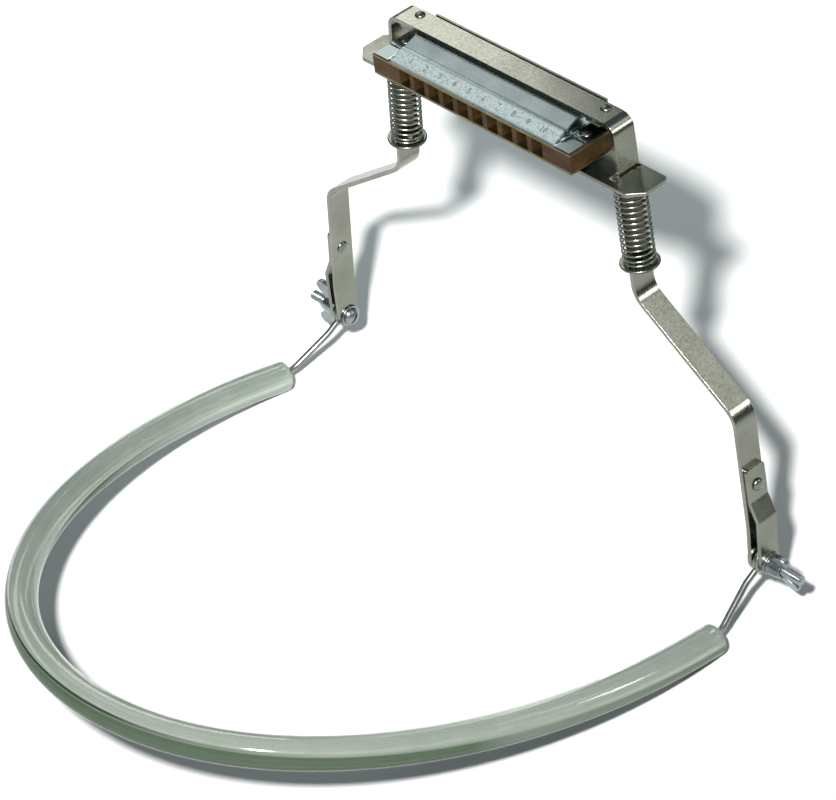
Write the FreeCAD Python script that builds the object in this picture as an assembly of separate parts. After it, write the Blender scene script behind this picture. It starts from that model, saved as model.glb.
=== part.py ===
import FreeCAD, Part
import math
import os

V = FreeCAD.Vector

# Harmonica neck holder with a ten-hole diatonic harmonica in its jaws.
# Working frame: X along the harmonica, Y towards the back, Z up.
# The working origin is the middle of the axis through the two neck-yoke pivots.
# Every shape is moved to the row frame (centre of the bounding box base) when it is saved.

# ---- row origin ----
pivot_height = 21.19
leg_plane_y = 111.92

# ---- bent flat-steel frame ----
strip_w = 10.0
strip_t = 1.8
bar_top = 168.0
bar_half = 57.3
knee_x = 62.4
knee_z = 97.7
elbow_x = 108.6
elbow_z = 65.6
foot_x = 112.8
foot_z = 16.0
bend_bar = 4.0
bend_leg = 10.0
bend_foot = 12.0
foot_round = strip_w / 2

# ---- pivot hardware ----
bolt_d = 4.0
hole_clearance = 0.06
eye_t = 2.6
side_gap = 0.1
washer_t = 0.8
washer_d = 9.0
bolt_head_d = 8.0
bolt_head_h = 2.6
bolt_rim_h = 0.8
bolt_slot_w = 1.0
bolt_slot_deep = 1.1
bolt_len = 23.0
nut_hub_d = 8.0
nut_hub_top_d = 6.8
nut_hub_h = 6.0
wing_h = 10.8
wing_t = 2.0
# one wing as (out along the bolt, across from its axis)
wing_outline = [
    (0.9, 1.5),
    (1.2, 4.5),
    (4.2, 9.3),
    (7.4, 10.5),
    (9.8, 9.7),
    (wing_h, 7.1),
    (9.2, 5.3),
    (5.4, 1.5),
]
nut_angle = {-1: 0.0, 1: 20.0}

# ---- fork plates, riveted outside each arm ----
fork_w = 9.0
fork_t = 1.8
fork_top = 43.0
fork_ramp_top = 29.0
fork_ramp_end = 21.0
fork_rivet_z = 35.0
rivet_d = 3.0
rivet_head_d = 5.0
rivet_head_h = 1.2
rivet_tail_h = 0.9
fork_bend = 2.5
fork_gap = 0.02

# ---- neck yoke ----
wire_d = 2.6
eye_d = 11.0
yoke_bend_x = 115.0
yoke_bend_y = -27.85
yoke_bend_z = -14.63
wire_bend_r = 9.0
lean_from_eye = 11.0
lean_bend_r = 15.0
loop_rise = 11.58
loop_half = 117.94
loop_start = 3.75
loop_depth = 197.47
loop_splay = 4.56
loop_side_pull = 113.26
loop_front_pull = 73.56
tube_d = 12.2
tube_bore = 6.0
tube_drop = 1.36
loop_spans = 4

# ---- jaws ----
jaw_gap = 0.05
clamp_t = 1.5
clamp_half = 72.5
clamp_front = -11.0
clamp_back = 5.7
clamp_clip_front = 5.0
clamp_clip_back = 1.5
clamp_travel = 10.0
slot_front = -8.0
slot_back = 5.2
slot_gap = 0.2
wall_t = 1.0
wall_y = 6.0
wall_half = 43.3
wall_h = 14.0
ear_in = 43.8
ear_out = 50.5
ear_front = -4.9
ear_rivet_x = 47.2
ear_rivet_y = 2.0
ear_rivet_d = 2.4
ear_rivet_head_d = 4.0
ear_rivet_head_h = 1.0
ear_rivet_tail_d = 3.6
ear_rivet_tail_h = 0.7
wall_below_bar = 0.3

# ---- springs and their seats ----
spring_wire = 0.8
spring_od = 12.4
spring_turns = 16.0
seat_z = 110.0
seat_t = 1.2
seat_d = 15.0
seat_gap = 0.10
seat_edge_r = 0.3
spring_gap = 0.05
pin_d = 2.0
pin_len = 9.0

# ---- harmonica ----
harp_len = 101.0
harp_front = -19.5
harp_back = 5.9
harp_h = 18.1
comb_t = 6.5
plate_t = 0.9
holes = 10
hole_pitch = 7.5
hole_w = 5.2
chamber_long = 19.0
chamber_short = 13.0
reed_slot_w = 2.4
reed_w = 2.2
reed_t = 0.25
reed_long = 15.0
reed_short = 9.0
reed_inset = 2.0
reed_tip_gap = 0.3
reed_root_len = 1.8
reed_root_rise = 0.35
reed_gap = 0.01
cover_t = 0.45
cover_inset = 0.3
cover_hem = 1.3
cover_half = 42.5
cover_flange_end = 49.8
cover_back = 3.5
cover_crease_y = -12.2
cover_crease_h = 2.7
cover_shoulder_y = -6.4
cover_shoulder_h = 4.5
cover_top_front = -4.6
cover_top_back = 1.5
cover_tail_drop = 1.7
cover_tail_h = 2.2
pin_x = 46.2
pin_y = -7.0
cover_pin_d = 2.0
cover_pin_head_d = 3.6
cover_pin_head_h = 0.7
pin_gap = 0.02

# ---- lengths that only have to reach past the pieces they cut ----
through = 130.0
past = 1.0

# ---- how little a run may stray before it counts as straight ----
straight_enough = 0.00001

# ---- derived ----
lean = math.atan2(knee_x - bar_half, bar_top - knee_z)
bar_under = bar_top - strip_t
harp_top = bar_under - jaw_gap
harp_mid = harp_top - harp_h / 2
harp_bottom = harp_top - harp_h
clamp_top = harp_bottom - jaw_gap
clamp_bottom = clamp_top - clamp_t
cover_h = (harp_h - comb_t) / 2 - plate_t
arm_in = foot_x - strip_t
eye_x = foot_x + side_gap + eye_t / 2
fork_in = foot_x + 2 * side_gap + eye_t
fork_out = fork_in + fork_t
nut_seat = fork_out + washer_t
bolt_r = bolt_d / 2
bolt_hole_r = bolt_r + hole_clearance
rivet_hole_r = (rivet_d + hole_clearance) / 2
ear_hole_r = (ear_rivet_d + hole_clearance) / 2
cross_pin_hole_r = (pin_d + hole_clearance) / 2
cover_pin_hole_r = cover_pin_d / 2 + pin_gap
X_AXIS = V(1, 0, 0)
Y_AXIS = V(0, 1, 0)
Z_AXIS = V(0, 0, 1)

os.makedirs("parts", exist_ok=True)


def save(name, shape):
    """Move a shape from the working frame to the row frame and write its STEP file."""
    out = shape.copy()
    out.translate(V(0, leg_plane_y, pivot_height))
    out.exportStep("parts/" + name + ".step")


def both(make):
    """The same piece on the left and right, kept as separate solids in one group."""
    return Part.makeCompound([make(-1), make(1)])


def box(x0, x1, y0, y1, z0, z1):
    """A box from its two corners, in any order."""
    lo = V(min(x0, x1), min(y0, y1), min(z0, z1))
    return Part.makeBox(abs(x1 - x0), abs(y1 - y0), abs(z1 - z0), lo)


def rod_x(radius, x0, x1, y=0.0, z=0.0):
    """A cylinder along X from x0 to x1."""
    return Part.makeCylinder(radius, abs(x1 - x0), V(min(x0, x1), y, z), X_AXIS)


def rod_z(radius, x, y, z0, z1):
    """A cylinder along Z from z0 to z1."""
    return Part.makeCylinder(radius, z1 - z0, V(x, y, z0), Z_AXIS)


def dome(radius, height, centre, direction):
    """A low round head on a flat seat: a slice of a ball."""
    ball_r = (radius * radius + height * height) / (2 * height)
    axis = V(direction).normalize()
    ball = Part.makeSphere(ball_r, centre + axis * (height - ball_r))
    return ball.common(Part.makeCylinder(radius + past, height, centre, axis))


def left_of(a, b):
    """Unit normal on the left of the run from a to b, in the XZ plane."""
    d = (b - a).normalize()
    return V(-d.z, 0, d.x)


def side_edges(points, radius, offset):
    """Edges of a bent line moved sideways by offset, with a true arc at every bend."""
    edges = []
    first = points[0] + left_of(points[0], points[1]) * offset
    start = first
    for i in range(1, len(points) - 1):
        before = left_of(points[i - 1], points[i])
        after = left_of(points[i], points[i + 1])
        d0 = (points[i] - points[i - 1]).normalize()
        d1 = (points[i + 1] - points[i]).normalize()
        turn = d0.x * d1.z - d0.z * d1.x
        sign = 1.0 if turn > 0 else -1.0
        r = radius[i - 1]
        reach = r * math.tan(d0.getAngle(d1) / 2)
        t0 = points[i] - d0 * reach
        t1 = points[i] + d1 * reach
        centre = t0 + before * (sign * r)
        out = (before + after).normalize() * (-sign)
        r_here = r - sign * offset
        a = t0 + before * offset
        b = t1 + after * offset
        edges.append(Part.makeLine(start, a))
        edges.append(Part.Arc(a, centre + out * r_here, b).toShape())
        start = b
    end = points[-1] + left_of(points[-2], points[-1]) * offset
    edges.append(Part.makeLine(start, end))
    return edges, first, end


def bent_strip(points, radius, thickness, y0, y1):
    """A flat strip bent along a centre line in the XZ plane, from y0 to y1."""
    half = thickness / 2
    near, near_start, near_end = side_edges(points, radius, half)
    far, far_start, far_end = side_edges(points, radius, -half)
    caps = [Part.makeLine(near_end, far_end), Part.makeLine(far_start, near_start)]
    wire = Part.Wire(Part.__sortEdges__(near + far + caps))
    face = Part.Face(wire)
    face.translate(V(0, y0, 0))
    return face.extrude(V(0, y1 - y0, 0))


def centre_line(points, thickness):
    """Centre line of a strip given its outer (left-hand) line."""
    half = thickness / 2
    result = []
    for i, p in enumerate(points):
        if i == 0:
            n = left_of(points[0], points[1])
            result.append(p - n * half)
        elif i == len(points) - 1:
            n = left_of(points[-2], points[-1])
            result.append(p - n * half)
        else:
            n0 = left_of(points[i - 1], p)
            n1 = left_of(p, points[i + 1])
            mitre = (n0 + n1).normalize()
            result.append(p - mitre * (half / mitre.dot(n0)))
    return result


def round_foot(width):
    """A tall slab with a round lower end about the pivot axis, to trim arm ends."""
    slab = box(-through, through, -width / 2, width / 2, 0, bar_top + past)
    return slab.fuse(rod_x(width / 2, -through, through))


def leg_x(z):
    """X of the outer face of the upper right leg at height z."""
    return bar_half + math.tan(lean) * (bar_top - z)


def on_leg(shape, side, z):
    """Place a shape built about the local Z axis onto an upper leg, leaning with it."""
    out = shape.copy()
    centre = leg_x(z) - strip_t / 2 / math.cos(lean)
    out.rotate(V(0, 0, 0), Y_AXIS, -side * math.degrees(lean))
    out.translate(V(side * centre, 0, z))
    return out


# ---- frame strip ----
right_side = [
    V(bar_half, 0, bar_top),
    V(knee_x, 0, knee_z),
    V(elbow_x, 0, elbow_z),
    V(foot_x, 0, foot_z),
    V(foot_x, 0, -foot_round),
]
left_side = [V(-p.x, 0, p.z) for p in reversed(right_side)]
outer_line = left_side + right_side
bends = [bend_foot, bend_leg, bend_leg, bend_bar]
frame_line = centre_line(outer_line, strip_t)
frame = bent_strip(frame_line, bends + bends[::-1], strip_t, -strip_w / 2, strip_w / 2)
frame = frame.common(round_foot(strip_w))
frame = frame.cut(rod_x(bolt_hole_r, -through, through))
frame = frame.cut(rod_x(rivet_hole_r, -through, through, 0, fork_rivet_z))
cross_pin_z = -(seat_t + pin_d / 2 + hole_clearance)
for side in (-1, 1):
    frame = frame.cut(rod_z(ear_hole_r, side * ear_rivet_x, ear_rivet_y, bar_under - past, bar_top + past))
    pin_hole = rod_x(cross_pin_hole_r, -strip_w / 2, strip_w / 2, 0, cross_pin_z)
    frame = frame.cut(on_leg(pin_hole, side, seat_z))
save("frame_strip", frame)


# ---- rear jaw wall: an upright plate behind the bar with an ear under each end ----
ear_top = bar_under - jaw_gap
wall_low = bar_top - wall_h
wall = box(-wall_half, wall_half, wall_y, wall_y + wall_t, wall_low, bar_top - wall_below_bar)
for side in (-1, 1):
    tab = box(side * wall_half, side * ear_out, wall_y, wall_y + wall_t, wall_low, ear_top)
    ear = box(side * ear_in, side * ear_out, ear_front, wall_y + wall_t, ear_top - wall_t, ear_top)
    wall = wall.fuse(tab).fuse(ear)
wall = wall.removeSplitter()
for side in (-1, 1):
    wall = wall.cut(rod_z(ear_hole_r, side * ear_rivet_x, ear_rivet_y, ear_top - wall_t - past,
                          ear_top + past))
save("jaw_wall", wall)


def ear_rivet(side):
    """Rivet through the bar and one ear: low head above, flatter tail below."""
    x = side * ear_rivet_x
    seat_above = bar_top + pin_gap / 2
    seat_below = ear_top - wall_t - pin_gap / 2
    shank = rod_z(ear_rivet_d / 2, x, ear_rivet_y, seat_below - pin_gap / 2, seat_above + pin_gap / 2)
    head = dome(ear_rivet_head_d / 2, ear_rivet_head_h, V(x, ear_rivet_y, seat_above), Z_AXIS)
    tail = dome(ear_rivet_tail_d / 2, ear_rivet_tail_h, V(x, ear_rivet_y, seat_below), -Z_AXIS)
    return shank.fuse(head).fuse(tail)


save("jaw_rivets", both(ear_rivet))


# ---- sliding clamp plate ----
def clamp_outline():
    """Plan of the clamp plate, with cut corners."""
    c = clamp_half
    f = clamp_clip_front
    b = clamp_clip_back
    right = [
        V(c - f, clamp_front, 0),
        V(c, clamp_front + f, 0),
        V(c, clamp_back - b, 0),
        V(c - b, clamp_back, 0),
    ]
    left = [V(-p.x, p.y, 0) for p in reversed(right)]
    ring = right + left
    return Part.Face(Part.makePolygon(ring + [ring[0]]))


plate = clamp_outline()
plate.translate(V(0, 0, clamp_bottom))
plate = plate.extrude(V(0, 0, clamp_t))
slot_in = leg_x(clamp_top) - strip_t / math.cos(lean) - slot_gap
slot_out = leg_x(clamp_bottom - clamp_travel) + slot_gap
for side in (-1, 1):
    slot = box(side * slot_in, side * slot_out, slot_front, slot_back, clamp_bottom - past,
               clamp_top + past)
    plate = plate.cut(slot)
save("clamp_plate", plate)


# ---- coil springs round the legs, with ring seats on cross pins ----
def coil(side):
    """Closed and ground compression spring, leaning with its leg."""
    mean_r = (spring_od - spring_wire) / 2
    pitch = (clamp_bottom - seat_z) / spring_turns
    path = Part.makeHelix(pitch, (spring_turns + 1.5) * pitch, mean_r)
    section = Part.Wire(Part.makeCircle(spring_wire / 2, V(mean_r, 0, 0), Y_AXIS))
    body = Part.Wire(path.Edges).makePipeShell([section], True, True)
    body = on_leg(body, side, seat_z)
    above_seat = box(-spring_od, spring_od, -spring_od, spring_od, spring_gap, bar_top - seat_z)
    below_plate = box(side * wall_half, side * clamp_half, -spring_od, spring_od, knee_z,
                      clamp_bottom - spring_gap)
    return body.common(on_leg(above_seat, side, seat_z)).common(below_plate)


save("left_spring", coil(-1))
save("right_spring", coil(1))


def seat(side):
    """Ring under a spring, with a slot that fits the leg."""
    ring = Part.makeCylinder(seat_d / 2, seat_t, V(0, 0, -seat_t))
    across = strip_t / 2 + seat_gap
    deep = strip_w / 2 + seat_gap
    ring = ring.cut(box(-across, across, -deep, deep, -seat_t - past, past))
    outer_edges = [e for e in ring.Edges if abs(e.Length - math.pi * seat_d) < seat_gap]
    ring = ring.makeFillet(seat_edge_r, outer_edges)
    return on_leg(ring, side, seat_z)


def seat_pin(side):
    """Cross pin through a leg, just below the ring seat."""
    return on_leg(rod_x(pin_d / 2, -pin_len / 2, pin_len / 2, 0, cross_pin_z), side, seat_z)


save("spring_seats", both(seat))
save("seat_pins", both(seat_pin))


# ---- fork plates and rivets ----
def arm_x(z):
    """X of the outer face of the right arm at height z, on its leaning run."""
    share = (elbow_z - z) / (elbow_z - foot_z)
    return elbow_x + (foot_x - elbow_x) * share


def fork_plate(side):
    """Offset plate that makes a fork with the arm's foot for the yoke's eye."""
    line = [
        V(arm_x(fork_top) + fork_t + fork_gap, 0, fork_top),
        V(arm_x(fork_ramp_top) + fork_t + fork_gap, 0, fork_ramp_top),
        V(fork_out, 0, fork_ramp_end),
        V(fork_out, 0, -fork_w / 2),
    ]
    mid = centre_line(line, fork_t)
    plate = bent_strip(mid, [fork_bend, fork_bend], fork_t, -fork_w / 2, fork_w / 2)
    plate = plate.common(round_foot(fork_w))
    plate = plate.cut(rod_x(bolt_hole_r, knee_x, through))
    plate = plate.cut(rod_x(rivet_hole_r, knee_x, through, 0, fork_rivet_z))
    if side < 0:
        plate = plate.mirror(V(0, 0, 0), X_AXIS)
    return plate


save("left_fork_plate", fork_plate(-1))
save("right_fork_plate", fork_plate(1))


def fork_rivet(side):
    """Rivet square to the leaning arm, with a low head on each side."""
    tilt = math.atan2(foot_x - elbow_x, elbow_z - foot_z)
    clear = rivet_head_d / 2 * math.tan(tilt) + pin_gap / 2
    inner = arm_x(fork_rivet_z) - strip_t / math.cos(tilt) - clear
    outer = arm_x(fork_rivet_z) + (fork_t + fork_gap) / math.cos(tilt) + clear
    shank = rod_x(rivet_d / 2, inner - pin_gap, outer + pin_gap, 0, fork_rivet_z)
    head = dome(rivet_head_d / 2, rivet_head_h, V(outer, 0, fork_rivet_z), X_AXIS)
    tail = dome(rivet_head_d / 2, rivet_tail_h, V(inner, 0, fork_rivet_z), -X_AXIS)
    rivet = shank.fuse(head).fuse(tail)
    if side < 0:
        rivet = rivet.mirror(V(0, 0, 0), X_AXIS)
    return rivet


save("fork_rivets", both(fork_rivet))


# ---- neck yoke ----
rise = math.radians(loop_rise)
forward = V(0, -math.cos(rise), math.sin(rise))
upward = V(0, math.sin(rise), math.cos(rise))


def loop_half_stops(side_drop):
    """Right half of the neck loop in its tilted plane, lowered by side_drop.

    The half is a smooth curve from the run-in to the front. It is cut into equal spans and each
    span becomes two tangent arcs. Returns the start, its heading and the ends of the arcs.
    """
    base = V(0, yoke_bend_y, yoke_bend_z) + forward * loop_start - upward * side_drop
    splay = math.radians(loop_splay)
    pull = V(math.sin(splay), 0, 0) + forward * math.cos(splay)
    p0 = base + V(loop_half, 0, 0)
    p3 = base + forward * loop_depth
    curve = Part.BezierCurve()
    curve.setPoles([p0, p0 + pull * loop_side_pull, p3 + V(loop_front_pull, 0, 0), p3])
    stops = []
    for i in range(loop_spans):
        a = i / loop_spans
        b = (i + 1) / loop_spans
        middle = arc_meeting(curve.value(a), curve.tangent(a)[0], curve.value(b), curve.tangent(b)[0])
        stops += [middle, curve.value(b)]
    return p0, pull, stops


def arc_meeting(p, p_heading, q, q_heading):
    """Point where two tangent arcs with equal end lengths meet between p and q."""
    chord = q - p
    across = chord.dot(p_heading + q_heading)
    spread = 2 * (1 - p_heading.dot(q_heading))
    square = chord.dot(chord)
    reach = square / (across + math.sqrt(across * across + spread * square))
    return (p + q + (p_heading - q_heading) * reach) * 0.5


def round_bar(start, heading, stops, radius, bore=0.0):
    """A round bar or tube through the stops, each run straight or an arc tangent to the last."""
    pieces = []
    here = start
    for stop in stops:
        rings = [Part.Wire(Part.makeCircle(radius, here, heading))]
        if bore > 0:
            rings.append(Part.Wire(Part.makeCircle(bore, here, heading)))
        section = Part.Face(rings)
        chord = stop - here
        aside = chord - heading * chord.dot(heading)
        if aside.Length < straight_enough:
            pieces.append(section.extrude(chord))
        else:
            inward = V(aside).normalize()
            bend_r = chord.dot(chord) / (2 * chord.dot(inward))
            turn = 2 * math.atan2(chord.dot(inward), chord.dot(heading))
            axis = heading.cross(inward)
            pieces.append(section.revolve(here + inward * bend_r, axis, math.degrees(turn)))
            heading = heading * math.cos(turn) + inward * math.sin(turn)
        here = stop
    return pieces[0].multiFuse(pieces[1:]).removeSplitter()


def bend_stops(before, corner, after, radius):
    """Start and end of an arc that rounds a corner between two points."""
    d0 = (corner - before).normalize()
    d1 = (after - corner).normalize()
    reach = radius * math.tan(d0.getAngle(d1) / 2)
    return [corner - d0 * reach, corner + d1 * reach]


def mirrored_pair(half):
    """A right-hand half joined to its left-hand copy."""
    return half.fuse(half.mirror(V(0, 0, 0), X_AXIS)).removeSplitter()


loop_from, loop_heading, loop_stops = loop_half_stops(0.0)
eye = V(eye_x, 0, 0)
corner = V(yoke_bend_x, yoke_bend_y, yoke_bend_z)
corner = loop_from - loop_heading * (loop_from - corner).dot(loop_heading)
down = V(0, corner.y, corner.z).normalize()
lean_out = eye + down * lean_from_eye
lead = bend_stops(eye, lean_out, corner, lean_bend_r)
lead += bend_stops(lean_out, corner, loop_from, wire_bend_r)
lead.append(loop_from)
wire_start = eye + down * (eye_d / 2 - wire_d / 2)
neck_wire = mirrored_pair(round_bar(wire_start, down, lead + loop_stops, wire_d / 2))
for side in (-1, 1):
    x0 = side * (eye_x - eye_t / 2)
    x1 = side * (eye_x + eye_t / 2)
    neck_wire = neck_wire.fuse(rod_x(eye_d / 2, x0, x1))
neck_wire = neck_wire.cut(rod_x(bolt_hole_r, -through, through))
save("neck_wire", neck_wire)

tube_from, tube_heading, tube_stops = loop_half_stops(tube_drop)
tube_half = round_bar(tube_from, tube_heading, tube_stops, tube_d / 2, tube_bore / 2)
save("neck_tube", mirrored_pair(tube_half))


# ---- pivot bolts, washers and wing nuts ----
def pivot_bolt(side):
    """Round-head bolt through arm, eye and fork plate; head on the inner side."""
    under = arm_in - washer_t - pin_gap
    top = under - bolt_head_h
    shank = rod_x(bolt_r, under, under + bolt_len)
    head = dome(bolt_head_d / 2, bolt_head_h, V(under, 0, 0), -X_AXIS)
    rim = rod_x(bolt_head_d / 2, under - bolt_rim_h, under)
    slot = box(top - past, top + bolt_slot_deep, -bolt_slot_w / 2, bolt_slot_w / 2, -bolt_head_d,
               bolt_head_d)
    body = shank.fuse(head).fuse(rim).cut(slot)
    if side < 0:
        body = body.mirror(V(0, 0, 0), X_AXIS)
    return body


save("left_pivot_bolt", pivot_bolt(-1))
save("right_pivot_bolt", pivot_bolt(1))


def washer(x0, side):
    """Plain washer on the pivot bolt, from x0 outwards."""
    ring = rod_x(washer_d / 2, x0, x0 + washer_t)
    ring = ring.cut(rod_x(bolt_hole_r, x0 - past, x0 + washer_t + past))
    if side < 0:
        ring = ring.mirror(V(0, 0, 0), X_AXIS)
    return ring


head_washer_x = arm_in - washer_t - pin_gap / 2
save("head_washers", both(lambda side: washer(head_washer_x, side)))
save("left_nut_washer", washer(fork_out + pin_gap, -1))
save("right_nut_washer", washer(fork_out + pin_gap, 1))


def wing_nut(side):
    """Wing nut: a tapered hub with two flared wings."""
    seat_x = nut_seat + 2 * pin_gap
    hub = Part.makeCone(nut_hub_d / 2, nut_hub_top_d / 2, nut_hub_h, V(seat_x, 0, 0), X_AXIS)
    points = [V(seat_x + out, -wing_t / 2, across) for out, across in wing_outline]
    blade = Part.Face(Part.makePolygon(points + [points[0]])).extrude(V(0, wing_t, 0))
    other = blade.mirror(V(0, 0, 0), Z_AXIS)
    hole = rod_x(bolt_hole_r, seat_x - past, seat_x + wing_h + past)
    nut = hub.fuse(blade).fuse(other).cut(hole)
    nut.rotate(V(0, 0, 0), X_AXIS, nut_angle[side])
    if side < 0:
        nut = nut.mirror(V(0, 0, 0), X_AXIS)
    return nut


save("left_wing_nut", wing_nut(-1))
save("right_wing_nut", wing_nut(1))


# ---- harmonica ----
half_len = harp_len / 2
comb_low = harp_mid - comb_t / 2
comb_high = harp_mid + comb_t / 2


def hole_x(i):
    """X of the middle of channel i, counted from the left."""
    return (i - (holes - 1) / 2) * hole_pitch


def share(i, first, last):
    """A length that changes evenly from the first channel to the last."""
    return first + (last - first) * i / (holes - 1)


comb = box(-half_len, half_len, harp_front, harp_back, comb_low, comb_high)
for i in range(holes):
    deep = share(i, chamber_long, chamber_short)
    channel = box(hole_x(i) - hole_w / 2, hole_x(i) + hole_w / 2, harp_front - past,
                  harp_front + deep, comb_low - past, comb_high + past)
    comb = comb.cut(channel)
for side in (-1, 1):
    comb = comb.cut(rod_z(cover_pin_hole_r, side * pin_x, pin_y, comb_low - past, comb_high + past))
save("comb", comb)

reed_front = harp_front + reed_inset


def reed_plate(direction):
    """Brass plate with one reed slot over every channel."""
    z0 = comb_high if direction > 0 else comb_low
    z1 = z0 + direction * plate_t
    sheet = box(-half_len, half_len, harp_front, harp_back, z0, z1)
    for i in range(holes):
        length = share(i, reed_long, reed_short)
        cut = box(hole_x(i) - reed_slot_w / 2, hole_x(i) + reed_slot_w / 2, reed_front,
                  reed_front + length, z0 - direction, z1 + direction)
        sheet = sheet.cut(cut)
    for side in (-1, 1):
        sheet = sheet.cut(rod_z(cover_pin_hole_r, side * pin_x, pin_y, min(z0, z1) - past,
                                max(z0, z1) + past))
    return sheet


save("upper_reed_plate", reed_plate(1))
save("lower_reed_plate", reed_plate(-1))


def reed_set(plate_under):
    """Ten reeds hung under a plate, riveted at the back of their slots and free at the front."""
    solids = []
    top = plate_under - reed_gap
    for i in range(holes):
        length = share(i, reed_long, reed_short)
        x0 = hole_x(i) - reed_w / 2
        x1 = hole_x(i) + reed_w / 2
        back = reed_front + length + reed_inset
        tongue = box(x0, x1, reed_front + reed_tip_gap, back, top, top - reed_t)
        root = box(x0, x1, back - reed_root_len, back, top, top - reed_t - reed_root_rise)
        solids.append(tongue.fuse(root).removeSplitter())
    return Part.makeCompound(solids)


save("upper_reeds", reed_set(comb_high))
save("lower_reeds", reed_set(comb_low - plate_t))


def cover(direction):
    """Formed cover: front slope, shoulder, flat crown, open back and flat end tabs."""
    root = comb_high + plate_t
    front = harp_front + cover_inset
    outline = [
        (front, 0.0),
        (cover_crease_y, cover_crease_h),
        (cover_shoulder_y, cover_shoulder_h),
        (cover_top_front, cover_h),
        (cover_top_back, cover_h),
        (cover_back, cover_h - cover_tail_drop),
        (cover_back, cover_tail_h),
    ]
    inner = [
        (front + cover_hem, 0.0),
        (cover_crease_y + cover_t / 3, cover_crease_h - cover_t),
        (cover_shoulder_y + cover_t / 3, cover_shoulder_h - cover_t),
        (cover_top_front + cover_t / 4, cover_h - cover_t),
        (cover_top_back - cover_t / 2, cover_h - cover_t),
        (cover_back - cover_t, cover_h - cover_tail_drop - cover_t / 3),
        (cover_back - cover_t, cover_tail_h),
    ]
    ring = [V(-cover_half, y, root + z) for y, z in outline + inner[::-1]]
    shell = Part.Face(Part.makePolygon(ring + [ring[0]])).extrude(V(2 * cover_half, 0, 0))
    end_ring = outline[:-1] + [(cover_back, 0.0)]
    end_pts = [V(0, y, root + z) for y, z in end_ring]
    end_face = Part.Face(Part.makePolygon(end_pts + [end_pts[0]]))
    for side in (-1, 1):
        end = end_face.extrude(V(-side * cover_t, 0, 0))
        end.translate(V(side * cover_half, 0, 0))
        tab = box(side * (cover_half - cover_t), side * cover_flange_end, front, cover_back,
                  root, root + cover_t)
        shell = shell.fuse(end).fuse(tab)
    for side in (-1, 1):
        shell = shell.cut(rod_z(cover_pin_hole_r, side * pin_x, pin_y, root - past, root + past))
    shell = shell.removeSplitter()
    if direction < 0:
        shell = shell.mirror(V(0, 0, harp_mid), Z_AXIS)
    return shell


save("upper_cover", cover(1))
save("lower_cover", cover(-1))


def cover_pin(side):
    """Headed pin through both covers, both reed plates and the comb."""
    x = side * pin_x
    low = comb_low - plate_t - cover_t - pin_gap
    high = comb_high + plate_t + cover_t + pin_gap
    pin = rod_z(cover_pin_d / 2, x, pin_y, low - pin_gap, high + pin_gap)
    top = dome(cover_pin_head_d / 2, cover_pin_head_h, V(x, pin_y, high), Z_AXIS)
    bottom = dome(cover_pin_head_d / 2, cover_pin_head_h, V(x, pin_y, low), -Z_AXIS)
    return pin.fuse(top).fuse(bottom)


save("cover_pins", both(cover_pin))
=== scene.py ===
import math

import bmesh
import bpy
from mathutils import Matrix, Vector


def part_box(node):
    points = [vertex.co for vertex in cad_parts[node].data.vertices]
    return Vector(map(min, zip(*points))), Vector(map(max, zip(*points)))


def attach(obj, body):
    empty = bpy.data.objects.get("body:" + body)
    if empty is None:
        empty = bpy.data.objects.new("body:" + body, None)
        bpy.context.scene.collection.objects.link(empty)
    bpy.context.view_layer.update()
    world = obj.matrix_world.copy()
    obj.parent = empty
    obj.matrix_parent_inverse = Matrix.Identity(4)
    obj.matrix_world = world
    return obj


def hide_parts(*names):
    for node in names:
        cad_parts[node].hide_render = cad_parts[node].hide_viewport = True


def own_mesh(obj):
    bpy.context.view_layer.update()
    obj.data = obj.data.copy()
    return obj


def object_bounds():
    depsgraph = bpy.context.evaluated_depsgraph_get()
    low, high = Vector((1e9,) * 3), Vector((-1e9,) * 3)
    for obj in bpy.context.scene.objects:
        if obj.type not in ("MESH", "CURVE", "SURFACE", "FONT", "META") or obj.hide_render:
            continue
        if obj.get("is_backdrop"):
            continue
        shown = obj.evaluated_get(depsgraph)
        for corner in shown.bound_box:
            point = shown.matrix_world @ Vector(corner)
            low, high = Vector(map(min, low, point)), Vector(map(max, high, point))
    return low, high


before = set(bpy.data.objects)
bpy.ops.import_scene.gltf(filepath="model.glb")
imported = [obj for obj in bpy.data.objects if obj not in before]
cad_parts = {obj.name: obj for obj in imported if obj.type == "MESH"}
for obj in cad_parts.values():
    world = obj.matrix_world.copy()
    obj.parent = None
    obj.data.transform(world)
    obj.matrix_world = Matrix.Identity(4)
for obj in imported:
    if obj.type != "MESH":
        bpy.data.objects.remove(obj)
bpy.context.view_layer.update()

# Lengths below are in millimetres in the design frame: origin on the pivot axis, X along the
# harmonica, Y towards the back, Z up. ROW takes that frame to the row frame in metres.
MM = 0.001
RUN = "run"
SIDES = ((-1, "left"), (1, "right"))
X = Vector((1, 0, 0))
Y = Vector((0, 1, 0))
Z = Vector((0, 0, 1))
AXIS_OUT = Matrix.Rotation(math.pi / 2, 4, "Y")


def box_mm(node):
    """Lowest and highest corner of a CAD node, in millimetres in the row frame."""
    low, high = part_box(node)
    return low / MM, high / MM


bolt_low, bolt_high = box_mm("right_pivot_bolt")
PIVOT = Vector((0, (bolt_low.y + bolt_high.y) / 2, (bolt_low.z + bolt_high.z) / 2))
ROW = Matrix.Scale(MM, 4) @ Matrix.Translation(PIVOT)
TO_DESIGN = ROW.inverted()


def design_box(node):
    """Lowest and highest corner of a CAD node, in the design frame."""
    low, high = box_mm(node)
    return low - PIVOT, high - PIVOT


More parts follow.
